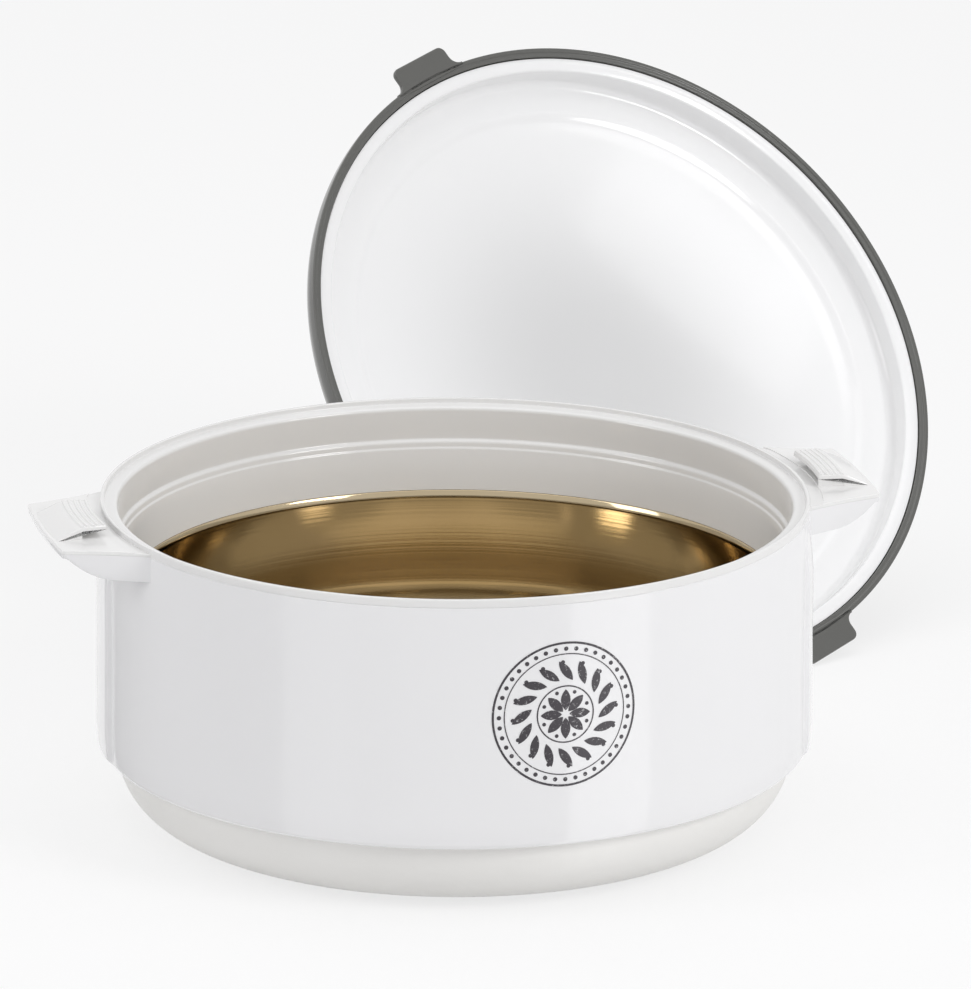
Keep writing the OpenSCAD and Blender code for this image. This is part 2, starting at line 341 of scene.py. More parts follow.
# Scratches from use: thin, faint lines in two directions, as a mask
def scratchGroup():
    group, given, result = newGroup(
        "fineScratches",
        [("Scale", "NodeSocketFloat", 90.0), ("Amount", "NodeSocketFloat", 0.5)],
        [("Mask", "NodeSocketFloat")])
    place = addNode(group, "ShaderNodeTexCoord").outputs["Object"]
    masks = []
    for turn in (0.6, -0.9):
        turned = addNode(group, "ShaderNodeMapping")
        setInputs(turned, Vector=place, Rotation=(turn, turn * 0.5, turn), Scale=(0.06, 1, 1))
        lines = addNoise(group, turned.outputs["Vector"], Scale=given["Scale"], Detail=2, Roughness=0.4)
        thin = addNode(group, "ShaderNodeMapRange", interpolation_type="SMOOTHSTEP")
        masks.append(setInputs(thin, Value=lines, From_Min=0.66, From_Max=0.74).outputs["Result"])
    both = addMaths(group, "MAXIMUM", *masks)
    setInputs(result, Mask=addMaths(group, "MULTIPLY", both, given["Amount"]))
    return group


moulded = mouldedGroup()
scratches = scratchGroup()

# Tones, gloss and wear of the plastics. Where a painted-shade scale is given, the tone is scaled by it near
# the piece's own axis, and is back at its full value from the second of two radii in millimetres: painted
# shade, darker in the dome's middle and down the collar's inside
finishes = {
    "glossWhite": dict(tone=(0.872, 0.869, 0.874), polish=0.08, spread=0.07, drift=0.014, ripple=150,
                       bump=0.02, coat=0.25, scratch=0.08),
    # the collar's tone is a little darker inside 132 mm: painted shade on the rim and down inside the pot
    "collarWhite": dict(tone=(0.86, 0.855, 0.845), polish=0.13, spread=0.08, drift=0.02, ripple=260,
                        bump=0.03, coat=0.2, scratch=0.02, middle=0.96, middleFrom=132, middleTo=138),
    # the liner's tone darkens towards the middle of its dome: painted shade
    "linerWhite": dict(tone=(0.91, 0.91, 0.91), polish=0.1, spread=0.06, drift=0.014, ripple=180,
                       bump=0.02, coat=0.3, scratch=0.02, middle=0.75, middleFrom=15, middleTo=112),
    "baseSatin": dict(tone=(0.86, 0.85, 0.825), polish=0.38, spread=0.14, drift=0.02, ripple=900,
                      bump=0.1, coat=0.0, scratch=0.15),
    "charcoalGloss": dict(tone=(0.088, 0.088, 0.081), polish=0.12, spread=0.08, drift=0.16, ripple=140,
                          bump=0.03, coat=0.4, scratch=0.15),
}


def addMoulded(tree, values):
    skinOf = addNode(tree, "ShaderNodeGroup", node_tree=moulded)
    return setInputs(skinOf, Tone=(*values["tone"], 1), Drift=values["drift"], Polish=values["polish"],
                     Polish_Spread=values["spread"])


def plasticFinish(name):
    values = finishes[name]
    material, tree, shader = newMaterial(name)
    skinOf = setInputs(addMoulded(tree, values), Ripple_Scale=values["ripple"]).outputs
    marks = setInputs(addNode(tree, "ShaderNodeGroup", node_tree=scratches), Amount=values["scratch"])
    setInputs(shader, IOR=1.49, Coat_Weight=values["coat"], Coat_Roughness=0.06,
              Base_Color=skinOf["Color"],
              Roughness=addMaths(tree, "ADD", skinOf["Roughness"], marks.outputs["Mask"]),
              Normal=addBump(tree, skinOf["Height"], values["bump"], 0.0006))
    # Painted shade: the tone is darkened towards the piece's axis
    if "middle" in values:
        reach = addNode(tree, "ShaderNodeAttribute", attribute_name="fromAxis")
        paintedShade = addNode(tree, "ShaderNodeMapRange", interpolation_type="SMOOTHSTEP")
        setInputs(paintedShade, Value=reach.outputs["Fac"], From_Min=values["middleFrom"],
                  From_Max=values["middleTo"], To_Min=values["middle"])
        shaded = addNode(tree, "ShaderNodeVectorMath", operation="SCALE")
        setInputs(shaded, Vector=skinOf["Color"], Scale=paintedShade.outputs["Result"])
        setInputs(shader, Base_Color=shaded.outputs[0])
    return material


# Spun steel: fine rings round the bowl's axis, a slow change of polish, and warm brown tones in clouds that
# are partly the steel's tint and partly a painted reflection of brown food
steelFinish = {
    "tone": (0.50, 0.415, 0.285),
    "darkTone": (0.40, 0.325, 0.205),
    "cloudScale": 14,
    "rings": 900,
    "polish": 0.04,
    "spread": 0.07,
    "relief": 0.06,
}


def spunSteel():
    material, tree, shader = newMaterial("spunSteel")
    place = addNode(tree, "ShaderNodeTexCoord").outputs["Object"]
    parts = setInputs(addNode(tree, "ShaderNodeSeparateXYZ"), Vector=place).outputs
    flat = setInputs(addNode(tree, "ShaderNodeCombineXYZ"), X=parts["X"], Y=parts["Y"])
    radius = addNode(tree, "ShaderNodeVectorMath", operation="LENGTH")
    setInputs(radius, Vector=flat.outputs[0])
    along = setInputs(addNode(tree, "ShaderNodeCombineXYZ"), X=radius.outputs["Value"], Y=parts["Z"])
    rings = addNoise(tree, along.outputs[0], Scale=steelFinish["rings"], Detail=5, Roughness=0.7)
    clouds = addNoise(tree, place, Scale=steelFinish["cloudScale"], Detail=5, Roughness=0.6)
    # Base colour: warm brown clouds, partly the steel's tint and partly painted reflection
    setInputs(shader, Metallic=1,
              Base_Color=addBlend(tree, steelFinish["darkTone"], steelFinish["tone"], clouds),
              Roughness=addMaths(tree, "MULTIPLY_ADD", rings, steelFinish["spread"], steelFinish["polish"]),
              Normal=addBump(tree, rings, steelFinish["relief"], 0.0003))
    return material


# The grip's band: a fine diagonal relief that follows the band's own length
bandFinish = {
    "tone": (0.075, 0.075, 0.072),
    "drift": 0.2,
    "polish": 0.38,
    "spread": 0.2,
    "lineTurn": 52,
    "lineScale": 0.35,
    "waver": 0.6,
    "dulling": 0.2,  # how much rougher a line's crest is
    "relief": 0.6,
}


def texturedCharcoal():
    material, tree, shader = newMaterial("charcoalTexture")
    skinOf = addMoulded(tree, bandFinish).outputs
    own = addNode(tree, "ShaderNodeUVMap", uv_map="bandLength").outputs["UV"]
    turned = addNode(tree, "ShaderNodeMapping")
    setInputs(turned, Vector=own, Rotation=(0, 0, math.radians(bandFinish["lineTurn"])))
    wave = addNode(tree, "ShaderNodeTexWave", wave_type="BANDS")
    lines = setInputs(wave, Vector=turned.outputs["Vector"], Scale=bandFinish["lineScale"],
                      Distortion=bandFinish["waver"], Detail=1).outputs["Fac"]
    setInputs(shader, Base_Color=skinOf["Color"],
              Roughness=addMaths(tree, "MULTIPLY_ADD", lines, bandFinish["dulling"], skinOf["Roughness"]),
              Normal=addBump(tree, lines, bandFinish["relief"], 0.0004))
    return material


# Insulating foam, out of sight between the walls
foam = {"tone": (0.8, 0.68, 0.4), "drift": 0.25, "polish": 0.7, "spread": 0.25, "cells": 800}


def foamFinish():
    material, tree, shader = newMaterial("rigidFoam")
    skinOf = addMoulded(tree, foam).outputs
    place = addNode(tree, "ShaderNodeTexCoord").outputs["Object"]
    cells = setInputs(addNode(tree, "ShaderNodeTexVoronoi"), Vector=place, Scale=foam["cells"])
    setInputs(shader, Base_Color=skinOf["Color"], Roughness=skinOf["Roughness"],
              Normal=addBump(tree, cells.outputs["Distance"], 0.5, 0.0006))
    return material


# Dark grey ink, thin and a little broken where the wall's gloss comes through
inkFinish = {
    "tone": (0.048, 0.042, 0.05),
    "grain": 900,
    "patches": 120,
    "gapFrom": 0.58,  # where in the grain the ink starts to break up, and where it is gone
    "gapTo": 0.66,
    "polish": 0.22,
    "dull": 0.4,
}


def printInk():
    material, tree, shader = newMaterial("greyInk")
    place = addNode(tree, "ShaderNodeTexCoord").outputs["Object"]
    breaks = addNoise(tree, place, Scale=inkFinish["grain"], Detail=5, Roughness=0.75)
    fade = addNoise(tree, place, Scale=inkFinish["patches"], Detail=3)
    gaps = addNode(tree, "ShaderNodeMapRange")
    setInputs(gaps, Value=breaks, From_Min=inkFinish["gapFrom"], From_Max=inkFinish["gapTo"])
    worn = addMaths(tree, "MULTIPLY", gaps.outputs["Result"], fade)
    rough = addNode(tree, "ShaderNodeMapRange")
    setInputs(rough, Value=fade, To_Min=inkFinish["polish"], To_Max=inkFinish["dull"])
    setInputs(shader, Roughness=rough.outputs["Result"],
              Base_Color=addBlend(tree, inkFinish["tone"], finishes["glossWhite"]["tone"], worn))
    return material


paint = {name: plasticFinish(name) for name in finishes}
paint["steel"] = spunSteel()
paint["charcoalTexture"] = texturedCharcoal()
paint["foam"] = foamFinish()
paint["ink"] = printInk()
print("materials ready:", sorted(paint))

for nodeName in ("pot_insulation", "lid_insulation"):
    dress(frame["nodes"][nodeName].data, paint["foam"])


# Geometry Nodes: a tree with its inputs, a finish and one result
def newGrowth(name, result, inputs):
    tree = bpy.data.node_groups.new(name, "GeometryNodeTree")
    for label, kind, value in inputs:
        socket = tree.interface.new_socket(label, in_out="INPUT", socket_type=kind)
        socket.default_value = value
    tree.interface.new_socket("Finish", in_out="INPUT", socket_type="NodeSocketMaterial")
    tree.interface.new_socket(result, in_out="OUTPUT", socket_type="NodeSocketGeometry")
    return tree, tree.nodes.new("NodeGroupInput").outputs


# Sets copies of a form on points, gives them the finish and puts them out as the tree's result
def addCopies(tree, given, position, form, result, **placing):
    places = setInputs(addNode(tree, "GeometryNodePoints"), Count=given["Count"], Position=position)
    copies = addNode(tree, "GeometryNodeInstanceOnPoints")
    setInputs(copies, Points=places.outputs[0], Instance=form, **placing)
    real = setInputs(addNode(tree, "GeometryNodeRealizeInstances"), Geometry=copies.outputs[0])
    named = addNode(tree, "GeometryNodeSetMaterial")
    setInputs(named, Geometry=real.outputs[0], Material=given["Finish"])
    setInputs(tree.nodes.new("NodeGroupOutput"), **{result: named.outputs[0]})


# Concentric ridges: one arc repeated outwards
def ridgeTree():
    tree, given = newGrowth("concentricRidges", "Ridges", (
        ("First Radius", "NodeSocketFloat", 100.0), ("Pitch", "NodeSocketFloat", 2.0),
        ("Count", "NodeSocketInt", 3), ("Start Angle", "NodeSocketFloat", 0.0),
        ("Sweep Angle", "NodeSocketFloat", 1.0), ("Segments", "NodeSocketInt", 64),
        ("Ridge Half Width", "NodeSocketFloat", 0.5), ("Ridge Height", "NodeSocketFloat", 0.5),
        ("Closed Ends", "NodeSocketBool", True), ("Level", "NodeSocketFloat", 0.0)))
    line = addNode(tree, "GeometryNodeCurveArc", mode="RADIUS")
    setInputs(line, Resolution=given["Segments"], Radius=given["First Radius"],
              Start_Angle=given["Start Angle"], Sweep_Angle=given["Sweep Angle"])
    section = addNode(tree, "GeometryNodeCurvePrimitiveCircle", mode="RADIUS")
    setInputs(section, Resolution=10, Radius=given["Ridge Half Width"])
    ridge = addNode(tree, "GeometryNodeCurveToMesh")
    setInputs(ridge, Curve=line.outputs["Curve"], Profile_Curve=section.outputs["Curve"],
              Fill_Caps=given["Closed Ends"])
    merged = addNode(tree, "GeometryNodeMergeByDistance")
    setInputs(merged, Geometry=ridge.outputs["Mesh"], Distance=0.001)
    index = addNode(tree, "GeometryNodeInputIndex").outputs[0]
    outwards = addMaths(tree, "MULTIPLY_ADD", index, given["Pitch"], given["First Radius"])
    growth = addMaths(tree, "DIVIDE", outwards, given["First Radius"])
    flatten = addMaths(tree, "DIVIDE", given["Ridge Height"], given["Ridge Half Width"])
    scale = setInputs(addNode(tree, "ShaderNodeCombineXYZ"), X=growth, Y=growth, Z=flatten)
    level = setInputs(addNode(tree, "ShaderNodeCombineXYZ"), Z=given["Level"])
    addCopies(tree, given, level.outputs[0], merged.outputs[0], "Ridges", Scale=scale.outputs[0])
    return tree


# Flat leaves, beads or petals set round a ring
def wreathTree():
    tree, given = newGrowth("ringOfLeaves", "Wreath", (
        ("Ring Radius", "NodeSocketFloat", 10.0), ("Count", "NodeSocketInt", 12),
        ("Leaf Length", "NodeSocketFloat", 5.0), ("Leaf Width", "NodeSocketFloat", 2.0),
        ("Point", "NodeSocketFloat", 1.0), ("Lean", "NodeSocketFloat", 0.0),
        ("First Turn", "NodeSocketFloat", 0.0)))

    def maths(operation, *terms):
        return addMaths(tree, operation, *terms)

    disc = addNode(tree, "GeometryNodeMeshCircle", fill_type="NGON")
    setInputs(disc, Vertices=20, Radius=1)
    spot = addNode(tree, "ShaderNodeSeparateXYZ")
    x, y, _ = setInputs(spot, Vector=addNode(tree, "GeometryNodeInputPosition").outputs[0]).outputs
    narrow = maths("MULTIPLY", maths("POWER", maths("ABSOLUTE", y), given["Point"]), maths("SIGN", y))
    leafPoint = addNode(tree, "ShaderNodeCombineXYZ")
    setInputs(leafPoint, X=maths("MULTIPLY", x, maths("MULTIPLY", given["Leaf Length"], 0.5)),
              Y=maths("MULTIPLY", narrow, maths("MULTIPLY", given["Leaf Width"], 0.5)))
    leaf = addNode(tree, "GeometryNodeSetPosition")
    setInputs(leaf, Geometry=disc.outputs["Mesh"], Position=leafPoint.outputs[0])
    index = addNode(tree, "GeometryNodeInputIndex").outputs[0]
    step = maths("DIVIDE", 2 * math.pi, given["Count"])
    turn = maths("MULTIPLY_ADD", index, step, given["First Turn"])
    ringPoint = addNode(tree, "ShaderNodeCombineXYZ")
    setInputs(ringPoint, X=maths("MULTIPLY", maths("COSINE", turn), given["Ring Radius"]),
              Y=maths("MULTIPLY", maths("SINE", turn), given["Ring Radius"]))
    facing = setInputs(addNode(tree, "ShaderNodeCombineXYZ"), Z=maths("ADD", turn, given["Lean"]))
    addCopies(tree, given, ringPoint.outputs[0], leaf.outputs[0], "Wreath", Rotation=facing.outputs[0])
    return tree


# Runs a tree with the given inputs and adds its result to a mesh being drawn
def addGrown(bm, tree, **values):
    host = linkedObject("growing", bpy.data.meshes.new("growing"))
    modifier = host.modifiers.new("growth", "NODES")
    modifier.node_group = tree
    for item in tree.interface.items_tree:
        if item.in_out == "INPUT" and item.name.replace(" ", "_") in values:
            modifier[item.identifier] = values[item.name.replace(" ", "_")]
    mesh = bpy.data.meshes.new_from_object(host.evaluated_get(bpy.context.evaluated_depsgraph_get()))
    host.modifiers.remove(modifier)
    bpy.data.objects.remove(host)
    bm.from_mesh(mesh)
    bpy.data.meshes.remove(mesh)


ridges = ridgeTree()
wreath = wreathTree()


# A smooth step from 0 to 1
def ease(value, start, end):
    t = min(max((value - start) / (end - start), 0), 1)
    return t * t * (3 - 2 * t)


# Pot wall: a smooth drum with a shallow raised panel under each handle
wall = {
    "seam": 28.6,
    "thickness": 2.2,
    "footIn": 7,  # how far the shell turns in over the base cup
    "footRound": 2.6,
    "belly": 0.4,  # the wall is this much fuller low down, and straight from its top on
    "bellyFrom": 3,
    "bellyOver": 41.6,
    "panelProud": 1.7,
    "panelFrom": -24.5,
    "panelTo": 1.5,
    "panelEdge": 0.9,  # degrees over which a panel's side rises
    "panelFade": 26,  # height over which its top runs out below the rim
}


def panelSwell(degrees, radius, height):
    if radius < rim["radius"] - 1:
        return 0
    turn = (degrees + 90) % 180 - 90
    sides = ease(turn, wall["panelFrom"] - wall["panelEdge"], wall["panelFrom"]) * \
        (1 - ease(turn, wall["panelTo"], wall["panelTo"] + wall["panelEdge"]))
    top = 1 - ease(height, rim["parting"] - wall["panelFade"], rim["parting"] - 1)
    bottom = ease(height, wall["seam"] + 0.4, wall["seam"] + 3.5)
    return wall["panelProud"] * sides * top * bottom


def wallAngles():
    angles = set(evenTurn(240))
    for side in (0, 180):
        for edge in (wall["panelFrom"] - wall["panelEdge"], wall["panelTo"]):
            for i in range(9):
                angles.add(round((side + edge + wall["panelEdge"] * i / 8) % 360, 4))
    return sorted(angles)


def buildShell():
    bm = bmesh.new()
    r, seam, thick = rim["radius"], wall["seam"], wall["thickness"]
    top, footR, belly = rim["parting"], wall["footRound"], wall["belly"]
    straight = seam + wall["bellyFrom"] + wall["bellyOver"]
    outer = [(r - wall["footIn"], seam, 0)] + arc(r - footR + 0.5, seam + footR, footR, -90, -8, 8)
    outer += [(r + belly - belly * i / 6, seam + wall["bellyFrom"] + wall["bellyOver"] * i / 6, 0)
              for i in range(1, 7)]
    outer += [(r, straight + (top - straight - 0.4) * i / 16, 0) for i in range(1, 17)]
    outer += [(r - 0.35, top, 0)]
    inner = [(r - thick, top, 0), (r - thick, seam + 6, 2), (r - thick - 2.4, seam + thick, 1),
             (r - wall["footIn"], seam + thick, 0)]
    lathe(bm, rounded(outer + inner), angles=wallAngles(), push=panelSwell)
    for turn in (0, 180):
        addApron(bm, turn)
    makePiece("outerShell", bm, "pot", paint["glossWhite"], ["outer_shell"])


# Handles: a plate on the collar over a rounded apron on the shell
handle = {
    "tipRadius": 157,
    "rootHalf": 19.7,
    "tipHalf": 11.2,
    "bow": 1.6,  # how far a side is drawn in halfway along
    "corner": 2.2,
    "tipBow": 1.5,  # how far the tip stands out in its middle
    "tipBack": 0.4,  # share of that by which the whole edge is set back
    "apronLow": 109.3,  # height of the apron's lower edge, as far out as it is level
    "apronLevelTo": 133,
    "apronTip": 117.2,  # and its height at the tip
    "apronTipFrom": 151.5,
    "apronCurve": 2.3,
    "apronThick": 2.2,
    "apronInset": 0.14,
    "padFrom": 135,
    "padFlat": 145,
    "padOut": 154,
    "padHalf": 7.0,
    "padRise": 4.7,
    "slotStop": 6.1,
    "slotRadius": 144.3,
    "slotTop": 0.9,  # above the rim
    "ribCount": 5,
    "ribHalfWidth": 0.62,
    "ribHeight": 0.5,
    "stepDown": 0.3,  # the plate lies this much lower inside the pad's edge
}


# A handle's side in plan, from its tip at 0 to its root at 1
def onHandleSide(u, inset):
    r = rim["radius"]
    tipTurn, rootTurn = math.radians(handle["tipHalf"]), math.radians(handle["rootHalf"])
    tip = (handle["tipRadius"] * math.cos(tipTurn) - inset, handle["tipRadius"] * math.sin(tipTurn) - inset)
    root = ((r - 4) * math.cos(rootTurn), r * math.sin(rootTurn) - inset)
    bow = handle["bow"] * math.sin(math.pi * u)
    return tip[0] + (root[0] - tip[0]) * u, tip[1] + (root[1] - tip[1]) * u - bow


# The handle's edge in plan, from one root round the tip to the other, as far in as a radius
def handleEdge(inset, innerRadius):
    low, high = 0.0, 1.0
    for _ in range(24):
        mid = (low + high) / 2
        if math.hypot(*onHandleSide(mid, inset)) > innerRadius:
            low = mid
        else:
            high = mid
    side = [onHandleSide(low * i / 10, inset) for i in range(11)]
    corner = max(handle["corner"] - inset * 0.4, 0.3)
    tip, half = side[0]
    bow = handle["tipBow"]
    points = [(x, -y, 0) for x, y in side[:0:-1]] + [(tip, -half, corner)]
    points += [(tip + bow * (1 - (v / 4) ** 2), half * v / 4, 0) for v in range(-3, 4)]
    points += [(tip, half, corner)] + [(x, y, 0) for x, y in side[1:]]
    back = bow * handle["tipBack"]
    return rounded([(x - back, y, size) for x, y, size in points], closed=False)


# Height of the apron's lower edge, level near the wall and rising to the tip
def apronHeight(x):
    start, end = handle["apronLevelTo"], handle["apronTipFrom"]
    low, tip = handle["apronLow"], handle["apronTip"]
    return low + (tip - low) * min(max((x - start) / (end - start), 0), 1) ** handle["apronCurve"]


# A flat layer of the handle's plan between two heights, hollow inside a radius
def addPlate(bm, low, high, innerRadius, turn, soft=0.35):
    rows = []
    for inset, height in ((0.12, low), (0, low + 0.12), (0, high - soft), (soft * 0.3, high - soft * 0.3),
                          (soft, high)):
        edge = [(p.x, p.y) for p in handleEdge(inset, innerRadius)]
        half = math.atan2(edge[-1][1], edge[-1][0])
        inner = [(innerRadius * math.cos(half * k / 10), innerRadius * math.sin(half * k / 10))
                 for k in range(9, -10, -1)]
        rows.append(turnedRow([(x, y, height) for x, y in edge + inner], turn))
    skin(bm, rows)


# The skirt under the plate: a thin wall round an open underside for the fingers
def addApron(bm, turn):
    top = rim["parting"] - 0.04
    thick = handle["apronThick"]
    rows = []
    for offset, lift, atTop in ((0, 0, True), (0, 0.6, False), (0.18, 0.18, False), (0.6, 0, False),
                                (thick - 0.6, 0, False), (thick - 0.18, 0.18, False),
                                (thick, 0.6, False), (thick, 0, True)):
        row = []
        for point in handleEdge(handle["apronInset"] + offset, rim["radius"] - 1.2):
            lower = apronHeight(point.x) + lift
            row.append((point.x, point.y, top if atTop else min(lower, top - 0.1)))
        rows.append(turnedRow(row, turn))
    skin(bm, rows, closeRows=True, closeLoops=False)


# The ribbed thumb pad that a tab of the lid slides under
def addPad(bm, turn):
    h = handle
    top = rim["plate"] + h["padRise"] - h["ribHeight"]
    slotTop = rim["height"] + h["slotTop"]
    under = rim["plate"] - 0.5
    section = rounded([(h["padFrom"], slotTop, 0.3), (h["padFrom"], top, 0.8), (h["padFlat"], top, 1.6),
                       (h["padOut"], rim["plate"] - 0.1, 1.0), (h["padOut"], under, 0),
                       (h["slotRadius"], under, 0), (h["slotRadius"], slotTop, 0.4)])
    half, steps = h["padHalf"], 28
    ends = ((0, 0.35), (0.05, 0.1), (0.16, 0))  # degrees in from an end, and how far it is drawn in there
    cuts = [(-half + turned, depth) for turned, depth in ends]
    cuts += [(-half + 2 * half * k / steps, 0) for k in range(1, steps)]
    cuts += [(half - turned, depth) for turned, depth in ends[::-1]]
    skin(bm, [spun(drawnIn(section, depth) if depth else section, degrees + turn)
              for degrees, depth in cuts])
    block = rounded([(h["padFrom"] + 0.1, under, 0), (h["padFrom"] + 0.1, slotTop + 0.3, 0),
                     (h["slotRadius"] + 0.2, slotTop + 0.3, 0), (h["slotRadius"] + 0.2, under, 0)])
    skin(bm, [spun(block, degrees + turn) for degrees in (-half + 0.1, -h["slotStop"])])


def addRibs(bm, turn):
    h = handle
    pitch = (h["padFlat"] - h["padFrom"]) / h["ribCount"]
    sweep = math.radians(2 * h["padHalf"] - 0.3)
    rise = h["ribHeight"] * 1.2
    addGrown(bm, ridges, First_Radius=h["padFrom"] + pitch * 0.45, Pitch=pitch, Count=h["ribCount"],
             Start_Angle=math.radians(turn) - sweep / 2, Sweep_Angle=sweep, Segments=24,
             Ridge_Half_Width=h["ribHalfWidth"], Ridge_Height=rise, Closed_Ends=True,
             Level=rim["plate"] + h["padRise"] - rise, Finish=paint["collarWhite"])


# Collar: a thin lip, a flange, the wall down to the steel with its ledge, and the handles' tops
collar = {"depth": 33.7, "ledge": 16.6, "wall": 123.4, "steelEdge": 119.5, "thickness": 2.2}


def buildCollar():
    bm = bmesh.new()
    r, top = rim["radius"], rim["height"]
    ledge, bottom = top - collar["ledge"], top - collar["depth"]
    inWall, steel, thick = collar["wall"], collar["steelEdge"], collar["thickness"]
    outline = rounded([
        (r, rim["parting"], 0.15), (r, top, 0.5), (r - rim["lip"], top, 0.5),
        (r - rim["lip"], top - 2, 0.5), (inWall + 0.2, top - 2.3, 1.4), (inWall, ledge + 2.0, 0.5),
        (inWall - 1.1, ledge + 1.1, 0.6), (inWall - 1.3, ledge - 0.8, 0.5),
        (inWall - 1.75, ledge - 1.4, 0.5), (steel, bottom, 0.3),
        (steel + thick, bottom, 0.3), (inWall - 1.6 + thick, ledge - 2, 0.5),
        (inWall + thick, ledge + 1.5, 0.5), (inWall + thick, rim["parting"] - 2.4, 0.4),
        (r - thick - 0.3, rim["parting"] - 2.4, 0.3),
        (r - thick - 0.3, rim["parting"], 0.2)])
    lathe(bm, outline)
    for turn in (0, 180):
        addPlate(bm, rim["parting"], rim["plate"] - handle["stepDown"], r - 0.7, turn)
        addPlate(bm, rim["plate"] - 0.6, rim["plate"], handle["padFrom"], turn)
        addPad(bm, turn)
        addRibs(bm, turn)
    makePiece("rimCollar", bm, "pot", paint["collarWhite"], ["rim_collar"])


# Steel bowl: a thin rolled edge, straight sides and a wide rounded corner
bowl = {"radius": 119.5, "floor": 14, "corner": 42, "thickness": 0.8}


def buildBowl():
    bm = bmesh.new()
    top = rim["height"] - collar["depth"]
    r, floor, corner, thick = bowl["radius"], bowl["floor"], bowl["corner"], bowl["thickness"]
    flatEnd = r - 1.5 - corner
    inside = [(0, floor, 0), (40, floor, 0)] + arc(flatEnd, floor + corner, corner, -90, 0, 24)
    inside += [(r - 0.9, top - 2.2, 0.8), (r - 0.2, top, 0.4), (r + 3, top, 0)]
    outside = [(r + 3, top - thick, 0), (r + 0.1, top - thick, 0.4), (r - 0.9 + thick, top - 3, 0.6)]
    outside += arc(flatEnd, floor + corner, corner + thick, 0, -90, 24) + [(0, floor - thick, 0)]
    lathe(bm, rounded(inside + outside, closed=False), closed=False)
    makePiece("steelBowl", bm, "pot", paint["steel"], ["steel_bowl"])


# Base cup: a shallow dish on a low ring, with a spigot that plugs into the shell
cup = {
    "edgeIn": 5.4,  # how far its edge stays inside the wall
    "flat": 101,
    "bottom": 2.5,
    "footIn": 84,
    "footOut": 90,
    "spigot": 5,
    "spigotIn": 1.9,
}


def buildCup():
    bm = bmesh.new()
    edge = rim["radius"] - cup["edgeIn"]
    seam, thick = wall["seam"], wall["thickness"]
    span, rise = edge - cup["flat"], seam - 1 - cup["bottom"]
    spigot = edge - cup["spigotIn"]
    outside = [(0, cup["bottom"], 0), (cup["footIn"], cup["bottom"], 0.5), (cup["footIn"] + 0.7, 0, 0.6),
               (cup["footOut"] - 0.7, 0, 0.6), (cup["footOut"], cup["bottom"], 0.5)]
    for i in range(29):
        t = math.radians(-90 + 90 * i / 28)
        outside.append((cup["flat"] + span * math.cos(t), seam - 1 + rise * math.sin(t), 0))
    outside += [(edge, seam - 0.35, 0.3), (edge - 0.35, seam, 0.3), (spigot, seam, 0.3),
                (spigot, seam + cup["spigot"], 0.5), (spigot - thick, seam + cup["spigot"], 0.5)]
    for i in range(15):
        t = math.radians(-90 * i / 14)
        outside.append((cup["flat"] - 1 + (spigot - thick - cup["flat"] + 1) * math.cos(t),
                        seam - 1 + (rise - thick) * math.sin(t), 0))
    outside.append((0, cup["bottom"] + thick, 0))
    lathe(bm, rounded(outside, closed=False), closed=False)
    makePiece("baseCup", bm, "pot", paint["baseSatin"], ["base_cup"])


# A printed ornament on the wall: a plain rosette in a ring of leaves and beads
ornament = {
    "turn": -86.8,  # degrees round the wall from the right handle
    "height": 78.0,
    "proud": 0.09,
    "bellyFrom": 31,  # heights between which it follows the wall's fuller part
    "bellyTo": 74,
    "rings": ((26.1, 26.9), (22.2, 22.6), (10.2, 10.7)),
    "layers": (
        # ring radius, count, leaf length, leaf width, point, lean, first turn
        (5.3, 8, 7.8, 3.6, 1.8, 0.0, 0.0),
        (8.6, 8, 1.4, 1.4, 1.0, 0.0, 0.3927),
        (16.1, 16, 8.9, 3.2, 1.8, 0.62, 0.0),
        (19.4, 16, 1.5, 1.5, 1.0, 0.0, 0.06),
        (24.3, 40, 1.6, 1.6, 1.0, 0.0, 0.0),
    ),
}


def buildOrnament():
    bm = bmesh.new()
    for radius, count, length, width, point, lean, first in ornament["layers"]:
        addGrown(bm, wreath, Ring_Radius=radius, Count=count, Leaf_Length=length, Leaf_Width=width,
                 Point=point, Lean=lean, First_Turn=first, Finish=paint["ink"])
    for inner, outer in ornament["rings"]:
        rows = []
        for i in range(120):
            t = math.radians(3 * i)
            rows.append([(radius * math.cos(t), radius * math.sin(t), 0) for radius in (inner, outer)])
        skin(bm, rows, closeRows=True, closeLoops=False, caps=False)
    bmesh.ops.triangulate(bm, faces=bm.faces)
    for vert in bm.verts:
        height = ornament["height"] + vert.co.y
        full = wall["belly"] * (1 - ease(height, ornament["bellyFrom"], ornament["bellyTo"]))
        fullRadius = rim["radius"] + full + ornament["proud"]
        t = math.radians(ornament["turn"]) + vert.co.x / fullRadius
        vert.co = Vector((fullRadius * math.cos(t), fullRadius * math.sin(t), height))
    bm.normal_update()
    for face in bm.faces:
        if face.normal.dot(face.calc_center_median()) < 0:
            face.normal_flip()
    bm.transform(Matrix.Scale(mm, 4))
    mesh = meshFrom(bm, "printedOrnament")
    dress(mesh, paint["ink"])
    piece = linkedObject("printedOrnament", mesh)
    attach(piece, "pot")
    print("made printedOrnament", len(mesh.polygons), "faces")


# Lid, drawn with its edge level at 0 and its tabs along X
lid = {
    "radius": 134.5,
    "rise": 40,
    "edgeHeight": 3,
    "edgeWidth": 3.6,
    "skin": 2.2,
    "gripFlange": 87,
    "gap": 0.3,
    "tabWidth": 27.5,
    "tabOut": 8.7,
    "tabThick": 2,
    "tabCorner": 3,
    "tabRoot": 4,
}


def lidHeight(radius):
    return lid["edgeHeight"] + lid["rise"] * math.sqrt(1 - (radius / lid["radius"]) ** 2)


